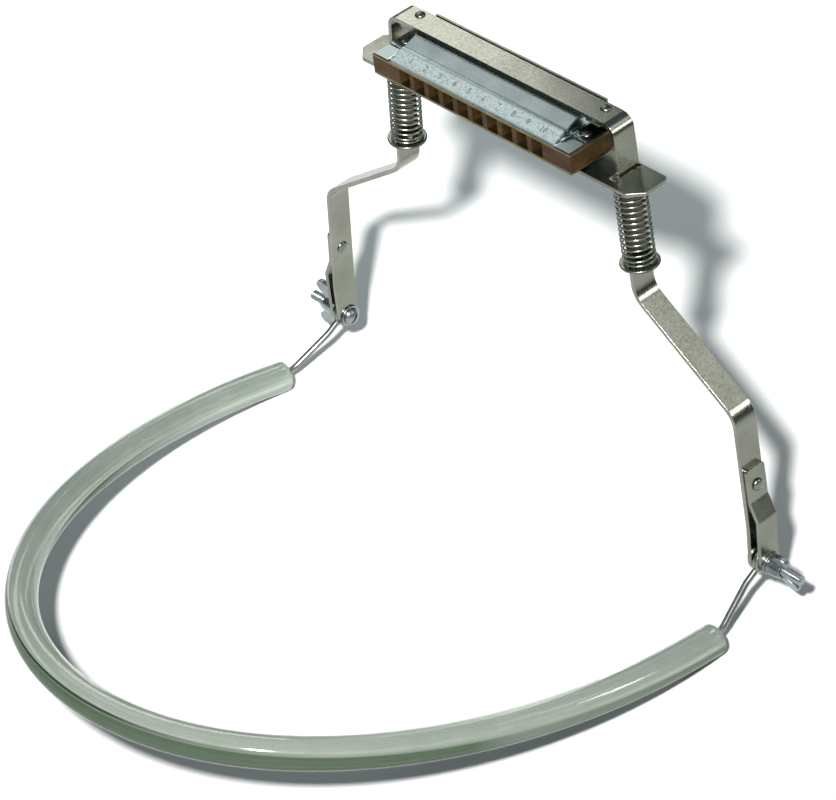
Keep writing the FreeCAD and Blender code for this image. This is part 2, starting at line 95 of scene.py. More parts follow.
# ---- sizes read from the frame ----
strip_low, strip_high = design_box("frame_strip")
strip_w = strip_high.y - strip_low.y
bar_top = strip_high.z
foot_x = strip_high.x
clamp_z = design_box("clamp_plate")[0].z
comb_low, comb_high = design_box("comb")
cover_low, cover_high = design_box("upper_cover")
nut_in = design_box("right_wing_nut")[0].x
bolt_in = bolt_low.x - PIVOT.x
bolt_out = bolt_high.x - PIVOT.x

# ---- bent strip: corners of its outer line as (x, z), bend radii from the foot up ----
strip_t = 1.8
bar_half = 57.3
knee = (62.4, 97.7)
elbow = (108.6, 65.6)
foot_z = 16.0
strip_bends = [12.0, 10.0, 10.0, 4.0]
strip_edge_r = 0.35
lean = math.atan2(knee[0] - bar_half, bar_top - knee[1])

# ---- fork plates: heights of the top and of both ends of the ramp ----
fork_w = 9.0
fork_t = 1.8
fork_gap = 0.02
fork_top = 43.0
fork_ramp_top = 29.0
fork_ramp_end = 21.0
fork_bend = 2.5
fork_corner_r = 1.5

# ---- rivets and pins: each is placed by its middle ----
jaw_rivet_x = 47.2
jaw_rivet_y = 2.0
jaw_tail_h = 0.7
fork_rivet_z = 35.0
fork_head_h = 1.2
fork_tail_gap = 0.23
cover_pin_x = 46.2
cover_pin_y = -7.0
cover_pin_h = 0.7

# ---- pivot: bolt_under and thread_from are X; turns are in degrees, left and right ----
bolt_r = 2.0
bolt_under = 110.18
bolt_rim = 0.8
thread_from = 118.35
thread_pitch = 0.7
thread_deep = 0.38
thread_slack = 0.03
thread_chamfer = 0.65
head_r = 4.0
slot_w = 1.0
slot_deep = 1.1
slot_turn = {-1: -40.0, 1: 25.0}
washer_t = 0.8
washer_r = 4.5
hole_gap = 0.06
hub_h = 6.0
hub_r = 4.0
hub_top_r = 3.4
hub_bore_r = 2.3
wing_t = 2.0
nut_turn = {-1: 0.0, 1: 20.0}
# outline of one ear of a wing nut, as (height on the hub, distance from the bolt's axis)
ear_outline = [
    (0.7, 1.6), (1.5, 4.9), (4.6, 9.0), (7.4, 10.5), (9.9, 9.6), (10.7, 7.3), (9.0, 5.5), (6.2, 3.4),
    (5.2, 1.6),
]

# ---- neck yoke: each half of its loop is a cubic curve, and the pulls place its poles ----
wire_r = 1.3
eye_x = 114.2
eye_bore_r = 2.08
eye_r = 5.5
yoke_bend = Vector((115.0, -27.85, -14.63))
wire_bend_r = 9.0
lean_from_eye = 11.0
lean_bend_r = 15.0
loop_rise = math.radians(11.58)
loop_half = 117.94
loop_start = 3.75
loop_depth = 197.47
loop_splay = math.radians(4.56)
loop_side_pull = 113.26
loop_front_pull = 73.56
tube_r = 6.1
bore_r = 3.0
tube_drop = 1.36
# direction that the tube's painted shade faces: down and towards the nape
vinyl_shade_side = (0.10, -0.62, -0.77)

# ---- springs and their seats ----
spring_wire_r = 0.4
spring_r = 5.8
spring_gap = 0.05
spring_turns = 17.0
end_turns = 1.2
seat_z = 110.0
seat_r = 7.5
seat_bore_r = 2.0
seat_t = 1.2
seat_edge_r = 0.5
seat_slot = (1.0, 5.1)
seat_pin_r = 1.0
seat_pin_half = 4.5
seat_pin_edge = 0.25

# ---- harmonica ----
holes = 10
hole_pitch = 7.5
cover_t = 0.45
cover_half = 42.5
# foot and head of a cover's numbered slope, as (distance from its front edge, height)
slope_foot = (1.2, 0.42)
slope_head = (5.8, 2.50)
number_size = 3.4
number_rise = 0.03
number_lift = 0.02


# ======== Mesh helpers ========
def linked(name, data):
    """A new object for a datablock, linked to the scene."""
    obj = bpy.data.objects.new(name, data)
    bpy.context.scene.collection.objects.link(obj)
    return obj


def baked(obj):
    """The final mesh of an object, which is then removed."""
    graph = bpy.context.evaluated_depsgraph_get()
    source = obj.evaluated_get(graph)
    result = bpy.data.meshes.new_from_object(source, preserve_all_data_layers=True, depsgraph=graph)
    bpy.data.objects.remove(obj)
    return result


def applied(mesh, modifiers):
    """The mesh with a list of (kind, settings) modifiers applied."""
    obj = linked("making", mesh)
    for kind, settings in modifiers:
        modifier = obj.modifiers.new(kind.lower(), kind)
        for key, value in settings.items():
            setattr(modifier, key, value)
    return baked(obj)


def combined(mesh, other, operation):
    """Boolean of two closed meshes."""
    tool = linked("tool", other)
    settings = {"object": tool, "operation": operation, "solver": "EXACT"}
    result = applied(mesh, [("BOOLEAN", settings)])
    bpy.data.objects.remove(tool)
    return result


def from_bmesh(bm, outwards=True):
    """A mesh datablock from a bmesh, with its faces as they are or all turned outwards."""
    if outwards:
        bmesh.ops.recalc_face_normals(bm, faces=bm.faces)
    mesh = bpy.data.meshes.new("mesh")
    bm.to_mesh(mesh)
    bm.free()
    return mesh


def band(bm, a, b, uv=None, run=None, around=None):
    """Faces between two closed rows of vertices, either of which may be a single tip.

    With a UV layer, run is the U of both rows and around the V of each vertex.
    """
    sides = max(len(a), len(b))
    for k in range(sides):
        n = (k + 1) % sides
        if len(a) == 1:
            bm.faces.new((a[0], b[n], b[k]))
        elif len(b) == 1:
            bm.faces.new((a[k], a[n], b[0]))
        else:
            face = bm.faces.new((a[k], a[n], b[n], b[k]))
            if uv is not None:
                corners = ((run[0], k), (run[0], k + 1), (run[1], k + 1), (run[1], k))
                for loop, (u, v) in zip(face.loops, corners):
                    loop[uv].uv = (u, around[v])


def skin(rings):
    """Skin over rings of points, capped at both ends, with lengthwise UVs."""
    bm = bmesh.new()
    uv = bm.loops.layers.uv.new(RUN)
    verts = [[bm.verts.new(p) for p in ring] for ring in rings]
    count = len(rings[0])
    middles = [sum(ring, Vector()) / count for ring in rings]
    run = [0.0]
    for a, b in zip(middles, middles[1:]):
        run.append(run[-1] + (b - a).length / 10)
    round_run = [0.0]
    for i in range(count):
        round_run.append(round_run[-1] + (rings[0][(i + 1) % count] - rings[0][i]).length / 10)
    for a, b, u0, u1 in zip(verts, verts[1:], run, run[1:]):
        band(bm, a, b, uv, (u0, u1), round_run)
    bm.faces.new(list(reversed(verts[0])))
    bm.faces.new(verts[-1])
    return from_bmesh(bm)


def circle(sides):
    """Cosine and sine at each corner of a regular polygon."""
    return [(math.cos(a), math.sin(a)) for a in (math.tau * k / sides for k in range(sides))]


def bar_rings(points, radius, sides):
    """Rings of a round bar along points, carried on without twist."""
    rings = []
    normal = (points[1] - points[0]).orthogonal().normalized()
    for i, p in enumerate(points):
        ahead = points[min(i + 1, len(points) - 1)] - points[max(i - 1, 0)]
        tangent = ahead.normalized()
        normal = (normal - tangent * normal.dot(tangent)).normalized()
        side = tangent.cross(normal)
        rings.append([p + (normal * c + side * s) * radius for c, s in circle(sides)])
    return rings


def lathe(profile, sides=48, closed=False):
    """A turned shape about Z from (height, radius) points; a closed profile makes a ring."""
    bm = bmesh.new()
    rows = []
    for height, radius in profile:
        if radius < 1e-6:
            rows.append([bm.verts.new((0, 0, height))])
        else:
            rows.append([bm.verts.new((radius * c, radius * s, height)) for c, s in circle(sides)])
    pairs = list(zip(rows, rows[1:]))
    if closed:
        pairs.append((rows[-1], rows[0]))
    for a, b in pairs:
        band(bm, a, b)
    if not closed:
        for row in (rows[0], rows[-1]):
            if len(row) > 1:
                bm.faces.new(row)
    return from_bmesh(bm)


def prism(outline, normal_axis, low, high):
    """A straight prism from an outline of 3-D points, from low to high along an axis."""
    bm = bmesh.new()
    bottom = [bm.verts.new(p + normal_axis * low) for p in outline]
    top = [bm.verts.new(p + normal_axis * high) for p in outline]
    bm.faces.new(bottom)
    bm.faces.new(top)
    band(bm, bottom, top)
    return from_bmesh(bm)


def block(x0, x1, y0, y1, z0, z1):
    """A plain box mesh used to cut other meshes."""
    corners = [Vector((x0, y0, 0)), Vector((x1, y0, 0)), Vector((x1, y1, 0)), Vector((x0, y1, 0))]
    return prism(corners, Z, z0, z1)


def joined(meshes):
    """Several meshes as one datablock."""
    bm = bmesh.new()
    for mesh in meshes:
        bm.from_mesh(mesh)
    return from_bmesh(bm, outwards=False)


def offset(x, y, z):
    """A matrix that moves by x, y and z."""
    return Matrix.Translation((x, y, z))


def moved(mesh, matrix):
    """The same mesh, moved by a matrix; a mirror keeps its faces outwards."""
    mesh.transform(matrix)
    if matrix.determinant() < 0:
        mesh.flip_normals()
    return mesh


def mirrored(mesh, side):
    """The right-hand mesh, or its mirror image for the left."""
    return mesh if side > 0 else moved(mesh, Matrix.Scale(-1, 4, X))


def from_cad(node):
    """A cleaned copy of a CAD node's mesh: welded, with its flat faces made whole again."""
    bm = bmesh.new()
    bm.from_mesh(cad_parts[node].data)
    bmesh.ops.transform(bm, matrix=TO_DESIGN, verts=bm.verts)
    bmesh.ops.remove_doubles(bm, verts=bm.verts, dist=0.002)
    flat = math.radians(0.5)
    bmesh.ops.dissolve_limit(bm, angle_limit=flat, verts=bm.verts, edges=bm.edges)
    return from_bmesh(bm)


def flat_run(mesh, along, across):
    """UVs of a flat plate: along and across are the directions of its grain."""
    layer = mesh.uv_layers.get(RUN) or mesh.uv_layers.new(name=RUN)
    for loop in mesh.loops:
        p = mesh.vertices[loop.vertex_index].co
        layer.data[loop.index].uv = (p.dot(along) / 10, p.dot(across) / 10)
    return mesh


def piece(name, mesh, body, slot, replaced=(), bevel=0.0, sharp=40.0):
    """Finish a design-frame mesh as a piece that rides on a body.

    Bevel is a width, and edges turning by more than sharp degrees are bevelled and shown sharp.
    """
    limit = math.radians(sharp)
    if bevel:
        settings = {"width": bevel, "segments": 3, "limit_method": "ANGLE", "angle_limit": limit}
        mesh = applied(mesh, [("BEVEL", settings)])
    mesh = applied(mesh, [("TRIANGULATE", {"min_vertices": 6})])
    mesh.shade_smooth()
    mesh.set_sharp_from_angle(angle=limit)
    mesh = applied(mesh, [("WEIGHTED_NORMAL", {"keep_sharp": True})])
    mesh.transform(ROW)
    mesh.materials.clear()
    mesh.materials.append(finishes[slot])
    mesh.name = name
    obj = linked(name, mesh)
    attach(obj, body)
    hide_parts(*replaced)
    return obj


# ======== Materials ========
def add(tree, kind, inputs=None, **settings):
    """A new shader node with its settings and inputs, each a value or another node's output."""
    node = tree.nodes.new("ShaderNode" + kind)
    for key, value in settings.items():
        setattr(node, key, value)
    for key, value in (inputs or {}).items():
        if isinstance(value, bpy.types.NodeSocket):
            tree.links.new(value, node.inputs[key])
        else:
            node.inputs[key].default_value = value
    return node


def new_material(name, **values):
    """A material with values on its shader's sockets."""
    mat = bpy.data.materials.new(name)
    mat.use_nodes = True
    shader = mat.node_tree.nodes["Principled BSDF"]
    for key, value in values.items():
        shader.inputs[key.replace("_", " ")].default_value = value
    return mat, mat.node_tree, shader


def place(tree):
    """The point on the piece, in metres."""
    return add(tree, "TexCoord").outputs["Object"]


def part_of(tree, vector, axis):
    """The X, Y or Z part of a vector."""
    return add(tree, "SeparateXYZ", {"Vector": vector}).outputs[axis]


def stretched(tree, vector, scale):
    """A vector scaled along each axis, so that a texture on it stretches."""
    return add(tree, "Mapping", {"Vector": vector, "Scale": scale}).outputs["Vector"]


def along_run(tree, lengthwise, crosswise):
    """Lengthwise UVs, stretched so that streaks follow the piece."""
    uv = add(tree, "UVMap", uv_map=RUN).outputs["UV"]
    return stretched(tree, uv, (lengthwise, crosswise, 1))


def noise(tree, vector, scale, detail, rough=0.55):
    """Noise value at a point."""
    inputs = {"Vector": vector, "Scale": scale, "Detail": detail, "Roughness": rough}
    return add(tree, "TexNoise", inputs).outputs["Fac"]


def ramp(tree, value, stops):
    """Colour ramp from (position, colour) stops."""
    node = add(tree, "ValToRGB", {"Fac": value})
    elements = node.color_ramp.elements
    while len(elements) < len(stops):
        elements.new(0.5)
    for element, (position, colour) in zip(elements, stops):
        element.position = position
        element.color = (*colour, 1)
    return node.outputs["Color"]


def two_tone(tree, value, dark, light):
    """Colour that turns from a dark to a light shade as a value rises."""
    return ramp(tree, value, [(0.3, dark), (0.7, light)])


def spread(tree, value, low, high, start=0.3, end=0.7):
    """A value stretched from the range start..end to low..high."""
    inputs = {"Value": value, "From Min": start, "From Max": end, "To Min": low, "To Max": high}
    return add(tree, "MapRange", inputs).outputs["Result"]


def blend(tree, factor, a, b):
    """Mix of two colours, from a at factor 0 to b at factor 1."""
    first, second = ((*c, 1) if isinstance(c, tuple) else c for c in (a, b))
    inputs = {0: factor, 6: first, 7: second}
    return add(tree, "Mix", inputs, data_type="RGBA", blend_type="MIX").outputs[2]


def maths(tree, how, *values):
    """Result of a maths node."""
    return add(tree, "Math", dict(enumerate(values)), operation=how).outputs[0]


def times(tree, a, b):
    """Product of two values."""
    return maths(tree, "MULTIPLY", a, b)


def dot(tree, vector, heading):
    """How far a vector reaches in a fixed direction."""
    node = add(tree, "VectorMath", {0: vector, 1: heading}, operation="DOT_PRODUCT")
    return node.outputs["Value"]


def feed(tree, shader, **values):
    """Link node outputs to the shader's sockets."""
    for key, value in values.items():
        tree.links.new(value, shader.inputs[key.replace("_", " ")])


def relief(tree, shader, height, depth, strength, below=None):
    """Bump of the given depth in millimetres, on top of another bump."""
    node = add(tree, "Bump", {"Height": height, "Distance": depth * MM, "Strength": strength})
    if below is not None:
        tree.links.new(below, node.inputs["Normal"])
    tree.links.new(node.outputs["Normal"], shader.inputs["Normal"])
    return node.outputs["Normal"]


def nickel(name, light, dark, rough, has_run=True, coil_shade_span=None):
    """Dull nickel plate over rolled steel: faint rolling lines, cloudy tarnish and small pits.

    The last argument is a height range painted darker, as painted shade of the spring's coils on the leg.
    """
    mat, tree, shader = new_material(name, Metallic=1.0)
    point = place(tree)
    cloud = noise(tree, point, 70, 4)
    grain = noise(tree, point, 900, 2)
    pits = spread(tree, noise(tree, point, 2600, 1), 0, 1, 0.74, 0.80)
    if has_run:
        lines = noise(tree, along_run(tree, 2.5, 60), 4, 4, 0.7)
    else:
        lines = grain
    colour = two_tone(tree, cloud, dark, light)
    colour = blend(tree, spread(tree, lines, 0.0, 0.35), colour, tuple(c * 0.72 for c in dark))
    colour = blend(tree, spread(tree, pits, 0, 0.3, 0, 1), colour, (0.10, 0.09, 0.07))
    # painted shade: the leg is painted darker where the coils of its spring shade it
    if coil_shade_span:
        height = part_of(tree, point, "Z")
        foot, head = (PIVOT.z + z for z in coil_shade_span)
        above = spread(tree, height, 0, 0.75, (foot - 1) * MM, (foot + 2) * MM)
        below = spread(tree, height, 1, 0, (head - 2) * MM, (head + 1) * MM)
        colour = blend(tree, times(tree, above, below), colour, (0.03, 0.03, 0.022))
    mottled = maths(tree, "ADD", lines, grain)
    dull = spread(tree, mottled, rough - 0.07, rough + 0.09, 0.7, 1.3)
    feed(tree, shader, Base_Color=colour, Roughness=dull)
    first = relief(tree, shader, lines, 0.005, 0.4)
    relief(tree, shader, grain, 0.0015, 0.3, first)
    return mat


def drawn_wire(name, light, dark, rough):
    """Bright drawn wire: fine lines along its length."""
    mat, tree, shader = new_material(name, Metallic=1.0)
    lines = noise(tree, along_run(tree, 1.2, 40), 6, 3, 0.6)
    cloud = noise(tree, place(tree), 160, 3)
    colour = blend(tree, spread(tree, cloud, 0, 1), dark, light)
    colour = blend(tree, spread(tree, lines, 0, 0.3), colour, tuple(c * 0.5 for c in dark))
    feed(tree, shader, Base_Color=colour, Roughness=spread(tree, lines, rough - 0.06, rough + 0.10))
    relief(tree, shader, lines, 0.008, 0.5)
    return mat


def zinc(name):
    """Bright zinc plate: a cool sparkle of fine crystals."""
    mat, tree, shader = new_material(name, Metallic=1.0)
    point = place(tree)
    cells = add(tree, "TexVoronoi", {"Vector": point, "Scale": 1500.0}).outputs["Color"]
    shade = add(tree, "RGBToBW", {"Color": cells}).outputs[0]
    cloud = noise(tree, point, 260, 3)
    colour = two_tone(tree, cloud, (0.16, 0.18, 0.18), (0.29, 0.32, 0.33))
    colour = blend(tree, spread(tree, shade, 0, 0.25, 0, 1), colour, (0.55, 0.60, 0.62))
    feed(tree, shader, Base_Color=colour, Roughness=spread(tree, shade, 0.24, 0.40, 0, 1))
    relief(tree, shader, noise(tree, point, 1800, 2), 0.01, 0.5)
    return mat


def chrome_cover(name):
    """Polished plate, lightly etched on its front slope and hairline-scratched by handling; its front
    slope is painted lighter as a painted highlight, and its end tabs darker as painted shade.
    """
    mat, tree, shader = new_material(name, Metallic=1.0)
    point = place(tree)
    deep = part_of(tree, point, "Y")
    front = (PIVOT.y + cover_low.y) * MM
    behind_foot = spread(tree, deep, 0, 1, front + 0.8 * MM, front + 1.3 * MM)
    before_head = spread(tree, deep, 1, 0, front + 5.6 * MM, front + 6.1 * MM)
    across = maths(tree, "ABSOLUTE", part_of(tree, point, "X"))
    shaded_tab = spread(tree, across, 0, 1, (cover_half + 0.2) * MM, (cover_half + 0.8) * MM)
    body = spread(tree, shaded_tab, 1, 0, 0, 1)
    slope = times(tree, times(tree, behind_foot, before_head), body)
    speckle = spread(tree, noise(tree, point, 1100, 2, 0.6), 0, 1, 0.50, 0.60)
    etched = times(tree, slope, speckle)
    cloud = noise(tree, point, 90, 3)
    colour = two_tone(tree, cloud, (0.23, 0.275, 0.28), (0.30, 0.35, 0.35))
    # painted highlight: the front slope is painted lighter than the rest of the cover
    colour = blend(tree, slope, colour, (0.42, 0.49, 0.49))
    # painted shade: the end tabs are painted dark, standing in for the shade and dark reflection of the
    # bar and legs above them
    colour = blend(tree, spread(tree, shaded_tab, 0, 0.7, 0, 1), colour, (0.10, 0.12, 0.12))
    colour = blend(tree, spread(tree, etched, 0, 0.25, 0, 1), colour, (0.30, 0.35, 0.36))
    hair = noise(tree, stretched(tree, point, (0.25, 4.0, 4.0)), 800, 3, 0.7)
    rough = maths(tree, "MULTIPLY_ADD", etched, 0.15, spread(tree, hair, 0.13, 0.24))
    feed(tree, shader, Base_Color=colour, Roughness=rough)
    first = relief(tree, shader, etched, 0.01, 0.5)
    relief(tree, shader, hair, 0.004, 0.4, first)
    return mat


def brass(name):
    """Rolled brass, dulled and a little brown."""
    mat, tree, shader = new_material(name, Metallic=1.0)
    point = place(tree)
    lines = noise(tree, stretched(tree, point, (0.2, 2.0, 2.0)), 900, 3, 0.65)
    cloud = noise(tree, point, 120, 4)
    colour = two_tone(tree, cloud, (0.13, 0.105, 0.05), (0.23, 0.195, 0.10))
    colour = blend(tree, spread(tree, lines, 0, 0.3), colour, (0.08, 0.062, 0.03))
    feed(tree, shader, Base_Color=colour, Roughness=spread(tree, lines, 0.30, 0.46))
    relief(tree, shader, lines, 0.01, 0.4)
    return mat


def wood(name):
    """Sealed brown hardwood with its grain along the comb."""
    mat, tree, shader = new_material(name, Coat_Weight=0.03, Coat_Roughness=0.4, Specular_IOR_Level=0.12)
    lengthwise = stretched(tree, place(tree), (0.12, 1.0, 1.0))
    warped = noise(tree, lengthwise, 260, 5, 0.6)
    fibre = noise(tree, lengthwise, 2400, 3, 0.7)
    shades = [(0.25, (0.012, 0.007, 0.002)), (0.5, (0.034, 0.018, 0.006)), (0.75, (0.070, 0.038, 0.013))]
    colour = ramp(tree, warped, shades)
    colour = blend(tree, spread(tree, fibre, 0, 0.55), colour, (0.012, 0.007, 0.003))
    feed(tree, shader, Base_Color=colour, Roughness=spread(tree, fibre, 0.42, 0.62))
    first = relief(tree, shader, warped, 0.03, 0.4)
    relief(tree, shader, fibre, 0.02, 0.6, first)
    return mat


def vinyl(name):
    """Cloudy grey-green vinyl tube: partly clear, glossy, with faint drawing lines.

    Its lower side carries painted shade and a painted dark streak that stands in for the wire seen through
    the tube, strongest round the nape.
    """
    mat, tree, shader = new_material(name, IOR=1.45, Coat_Roughness=0.06)
    point = place(tree)
    cloud = noise(tree, point, 55, 4)
    lines = noise(tree, along_run(tree, 0.35, 9), 4, 3, 0.6)
    colour = two_tone(tree, cloud, (0.65, 0.73, 0.65), (0.77, 0.83, 0.77))
    colour = blend(tree, spread(tree, lines, 0, 0.35), colour, (0.45, 0.55, 0.40))
    facing = add(tree, "NewGeometry").outputs["Normal"]
    under = dot(tree, facing, vinyl_shade_side)
    across = part_of(tree, point, "X")
    nape = spread(tree, part_of(tree, point, "Y"), 1.0, 0.0, -0.03, 0.07)
    right_side = spread(tree, across, 0.0, 0.85, -0.03, 0.06)
    left_half = spread(tree, across, 1.0, 0.25, 0.02, 0.09)
    # painted shade on the tube's lower side, strongest round the nape and on the right half
    shade_reach = spread(tree, maths(tree, "MAXIMUM", nape, right_side), 0.30, 1.0, 0.0, 1.0)
    shade = times(tree, spread(tree, under, 0.0, 0.95, -0.30, 0.02), shade_reach)
    colour = blend(tree, shade, colour, (0.020, 0.042, 0.018))
    # painted dark streak: stands in for the wire seen through the tube
    top_edge = spread(tree, under, 0.0, 0.97, -0.30, -0.20)
    bottom_edge = spread(tree, under, 1.0, 0.0, -0.10, 0.0)
    painted_wire_streak = times(tree, times(tree, top_edge, bottom_edge), times(tree, nape, left_half))
    colour = blend(tree, painted_wire_streak, colour, (0.012, 0.024, 0.012))
    # the tube is made less clear and less glossy where the painted shade and the painted streak lie
    painted_dark = maths(tree, "MAXIMUM", shade, painted_wire_streak)
    feed(
        tree,
        shader,
        Base_Color=colour,
        Transmission_Weight=spread(tree, painted_dark, 0.79, 0.26, 0.0, 0.9),
        Specular_IOR_Level=spread(tree, painted_dark, 0.5, 0.12, 0.0, 0.9),
        Coat_Weight=spread(tree, painted_dark, 0.2, 0.02, 0.0, 0.9),
        Roughness=spread(tree, lines, 0.03, 0.09),
    )
    relief(tree, shader, lines, 0.02, 0.5)
    return mat


finishes = {
    # the strip's finish carries painted shade of the coils between spring seat and clamp
    "nickel_strip": nickel("nickel_strip_finish", (0.285, 0.29, 0.245), (0.21, 0.215, 0.18), 0.22,
                           coil_shade_span=(seat_z, clamp_z)),
    "nickel_plate": nickel("nickel_plate_finish", (0.27, 0.28, 0.235), (0.19, 0.20, 0.165), 0.32),
    "spring_steel": drawn_wire("spring_steel_finish", (0.40, 0.42, 0.36), (0.22, 0.23, 0.19), 0.24),
    "zinc_hardware": zinc("zinc_finish"),
    "rivet_steel": nickel("rivet_finish", (0.24, 0.25, 0.21), (0.15, 0.16, 0.13), 0.30, has_run=False),
    "yoke_wire": drawn_wire("yoke_wire_finish", (0.36, 0.37, 0.34), (0.22, 0.23, 0.21), 0.30),
    "clear_vinyl": vinyl("vinyl_finish"),
    "comb_wood": wood("comb_wood_finish"),
    "reed_brass": brass("reed_brass_finish"),
    "cover_chrome": chrome_cover("cover_chrome_finish"),
}


# ======== Bent flat parts ========
def flat_point(x, z):
    """A point of the XZ plane."""
    return Vector((x, 0, z))


def left_of(d):
    """Left-hand side direction of a run in the XZ plane."""
    return flat_point(-d.z, d.x)


def centre_corners(outer, thickness):
    """Corners of the centre line of a strip, from the corners of its outer line."""
    half = thickness / 2
    result = []
    for i, p in enumerate(outer):
        before = left_of((outer[max(i, 1)] - outer[max(i, 1) - 1]).normalized())
        later = min(i, len(outer) - 2)
        after = left_of((outer[later + 1] - outer[later]).normalized())
        mitre = (before + after).normalized()
        result.append(p - mitre * (half / mitre.dot(before)))
    return result


def bent_stations(corners, radii, steps=12):
    """(point, side direction) along a bent centre line, with a true arc at every bend."""
    d = (corners[1] - corners[0]).normalized()
    stations = [(corners[0], left_of(d))]
    for i in range(1, len(corners) - 1):
        d0 = (corners[i] - corners[i - 1]).normalized()
        d1 = (corners[i + 1] - corners[i]).normalized()
        turn = math.atan2(d0.x * d1.z - d0.z * d1.x, d0.dot(d1))
        sign = math.copysign(1.0, turn)
        r = radii[i - 1]
        n0 = left_of(d0)
        centre = corners[i] - d0 * (r * math.tan(abs(turn) / 2)) + n0 * (sign * r)
        for k in range(steps + 1):
            a = turn * k / steps
            c = math.cos(a)
            s = math.sin(a)
            n = flat_point(n0.x * c - n0.z * s, n0.x * s + n0.z * c)
            stations.append((centre - n * (sign * r), n))
    stations.append((corners[-1], left_of((corners[-1] - corners[-2]).normalized())))
    return stations


def round_end(x, n, radius, steps=9):
    """Stations of a rounded foot about the pivot axis, from z = 0 down."""
    angles = [math.radians(86.0) * k / steps for k in range(steps + 1)]
    return [(flat_point(x, -radius * math.sin(a)), n, radius * math.cos(a)) for a in angles]


def strip_mesh(stations, thickness):
    """A flat strip through (point, side, half width) stations."""
    half = thickness / 2
    rings = []
    for p, n, w in stations:
        over = p + n * half
        below = p - n * half
        rings.append([over + Y * w, over - Y * w, below - Y * w, below + Y * w])
    return skin(rings)


def make_strip():
    """The frame: bar, sprung legs, outward slopes, lower arms and round feet."""
    turns = ((bar_half, bar_top), knee, elbow, (foot_x, foot_z), (foot_x, 0))
    right = [flat_point(*turn) for turn in turns]
    left = [flat_point(-p.x, p.z) for p in reversed(right)]
    corners = centre_corners(left + right, strip_t)
    run = bent_stations(corners, strip_bends + strip_bends[::-1])
    half_w = strip_w / 2
    middle = [(p, n, half_w) for p, n in run[1:-1]]
    end_x = foot_x - strip_t / 2
    right_foot = round_end(end_x, X, half_w)
    left_foot = round_end(-end_x, -X, half_w)
    mesh = strip_mesh(left_foot[::-1] + middle + right_foot, strip_t)
    piece("bent_strip", mesh, "frame", "nickel_strip", ["frame_strip"], bevel=strip_edge_r)


def arm_x(z):
    """X of the outer face of the right lower arm at height z."""
    return elbow[0] + (foot_x - elbow[0]) * (elbow[1] - z) / (elbow[1] - foot_z)


def make_forks():
    """Offset plates riveted outside the arms."""
    out_x = design_box("right_fork_plate")[1].x
    outer = [flat_point(arm_x(z) + fork_t + fork_gap, z) for z in (fork_top, fork_ramp_top)]
    outer += [flat_point(out_x, z) for z in (fork_ramp_end, 0)]
    run = bent_stations(centre_corners(outer, fork_t), [fork_bend, fork_bend], 8)
    half_w = fork_w / 2
    top, n = run[0]
    down = (run[1][0] - top).normalized()
    stations = []
    for k in range(7):
        a = math.radians(15.0 * k)
        drop = fork_corner_r * (1 - math.cos(a))
        stations.append((top + down * drop, n, half_w - fork_corner_r * (1 - math.sin(a))))
    stations += [(p, side, half_w) for p, side in run[1:-1]]
    stations += round_end(out_x - fork_t / 2, X, half_w)
    for side, word in SIDES:
        mesh = mirrored(strip_mesh(stations, fork_t), side)
        piece(word + "_offset_plate", mesh, "frame", "nickel_plate", [word + "_fork_plate"], bevel=0.3)


def make_plates():
    """The rear jaw wall and the sliding clamp plate, with softened sheared edges."""
    wall = flat_run(from_cad("jaw_wall"), X, (Y + Z).normalized())
    piece("rear_jaw_wall", wall, "frame", "nickel_plate", ["jaw_wall"], bevel=0.18)
    plate = flat_run(from_cad("clamp_plate"), X, (Y + Z * 0.3).normalized())
    piece("slotted_clamp", plate, "clamp", "nickel_plate", ["clamp_plate"], bevel=0.3)


# ======== Springs, seats and rivets ========
def leg_middle(z):
    """X of the middle of the right sprung leg at height z."""
    outer = bar_half + math.tan(lean) * (bar_top - z)
    return outer - strip_t / 2 / math.cos(lean)


def coil_mesh(side):
    """Compression spring round a leg, with closed ends: it leans with the leg and ends level."""
    low = seat_z + spring_gap + spring_wire_r
    high = clamp_z - spring_gap - spring_wire_r
    closed_rise = end_turns * 2.1 * spring_wire_r
    steps_per_turn = 26
    steps = int(spring_turns * steps_per_turn)
    points = []
    for k in range(steps + 1):
        turn = spring_turns * k / steps
        if turn < end_turns:
            rise = closed_rise * turn / end_turns
        elif turn > spring_turns - end_turns:
            rise = high - low - closed_rise * (spring_turns - turn) / end_turns
        else:
            free = (turn - end_turns) / (spring_turns - 2 * end_turns)
            rise = closed_rise + (high - low - 2 * closed_rise) * free
        z = low + rise
        tilt = lean * (1 - rise / (high - low))
        a = math.tau * turn
        across = spring_r * math.cos(a)
        x = leg_middle(z) + across * math.cos(tilt)
        points.append(Vector((side * x, spring_r * math.sin(a), z + across * math.sin(tilt))))
    return skin(bar_rings(points, spring_wire_r, 10))


def make_springs():
    """Both springs, each with its own copy of its mesh."""
    for side, word in SIDES:
        obj = piece(word + "_coil_spring", coil_mesh(side), "frame", "spring_steel", [word + "_spring"])
        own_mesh(obj)


def on_leg(mesh, side, z):
    """Place a mesh made about Z on a leg, leaning with it."""
    turn = Matrix.Rotation(-side * lean, 4, "Y")
    return moved(mesh, offset(side * leg_middle(z), 0, z) @ turn)


